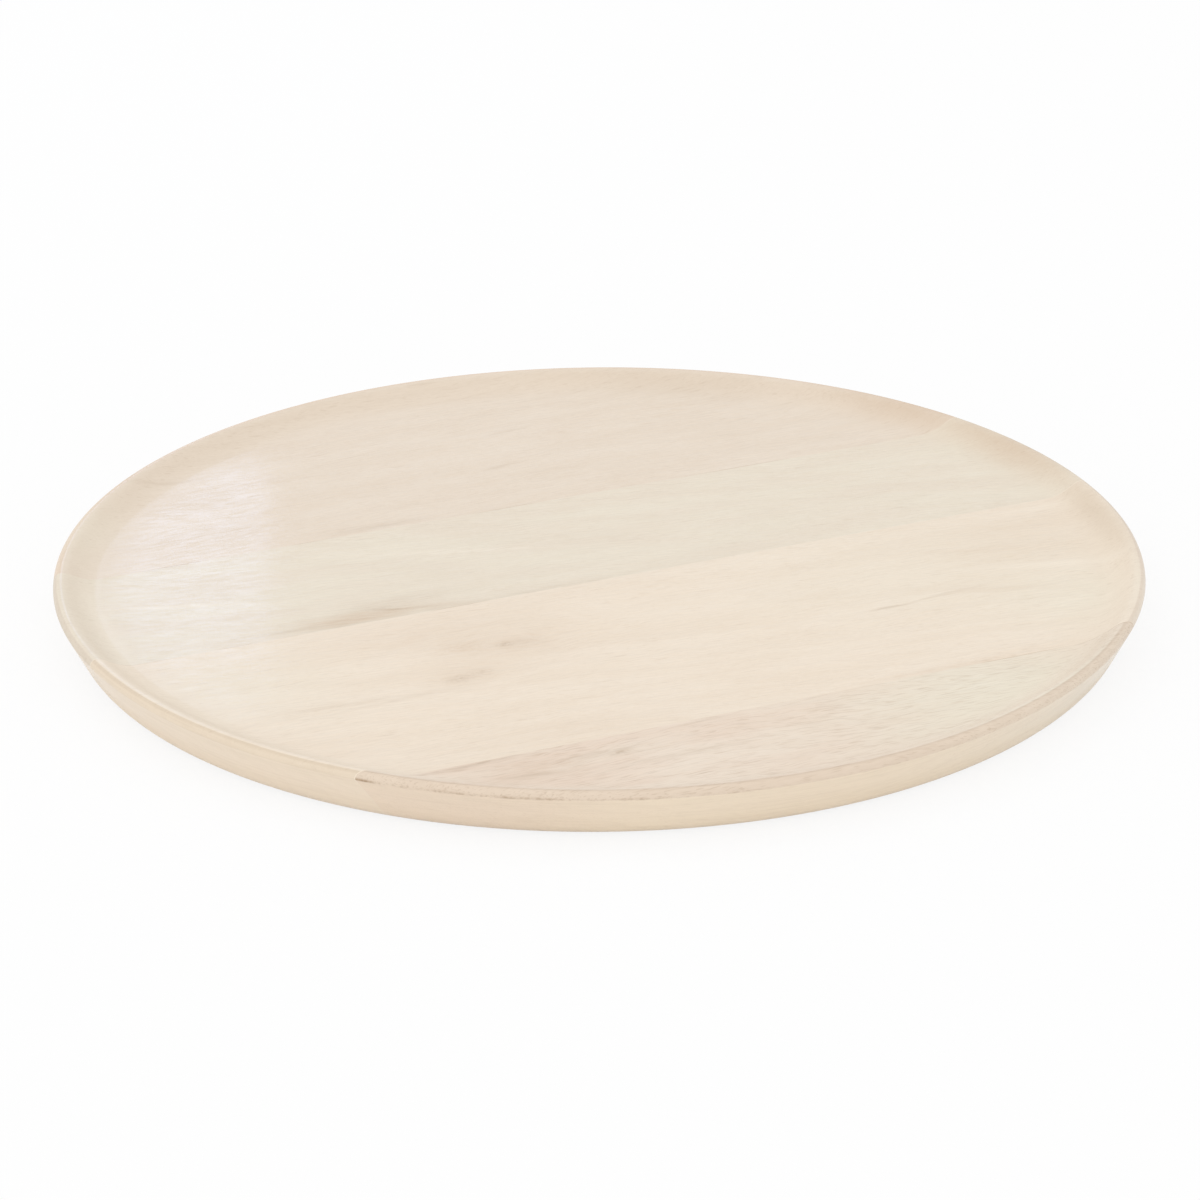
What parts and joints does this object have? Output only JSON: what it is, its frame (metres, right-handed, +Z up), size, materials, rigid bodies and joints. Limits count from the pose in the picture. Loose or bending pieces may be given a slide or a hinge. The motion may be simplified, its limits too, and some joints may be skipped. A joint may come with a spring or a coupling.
{
  "type": "serving plate",
  "caption": "Round pale wooden serving plate with a low rounded lip, a flat dish floor and a wall that leans in and curves under to a flat underside, glued up from side-by-side boards.",
  "frame": {"origin": "centre of the flat underside", "axes": "+Z up out of the dish, X along the grain and the glue lines, -Y towards the narrow outer board that the picture shows nearest the viewer"},
  "size_m": [0.4, 0.4, 0.02],
  "materials": {
    "front_board": "whitewashed, satin lacquer",
    "wide_board": "whitewashed, satin lacquer",
    "narrow_board": "whitewashed, satin lacquer",
    "back_board": "whitewashed, satin lacquer",
    "glue": "cured wood glue, sanded flush and lacquered over"
  },
  "bodies": {
    "root": {"front_stave": "front_board", "wide_centre_stave": "wide_board", "narrow_centre_stave": "narrow_board", "back_stave": "back_board", "front_glue_line": "glue", "centre_glue_line": "glue", "back_glue_line": "glue"}
  },
  "joints": []
}
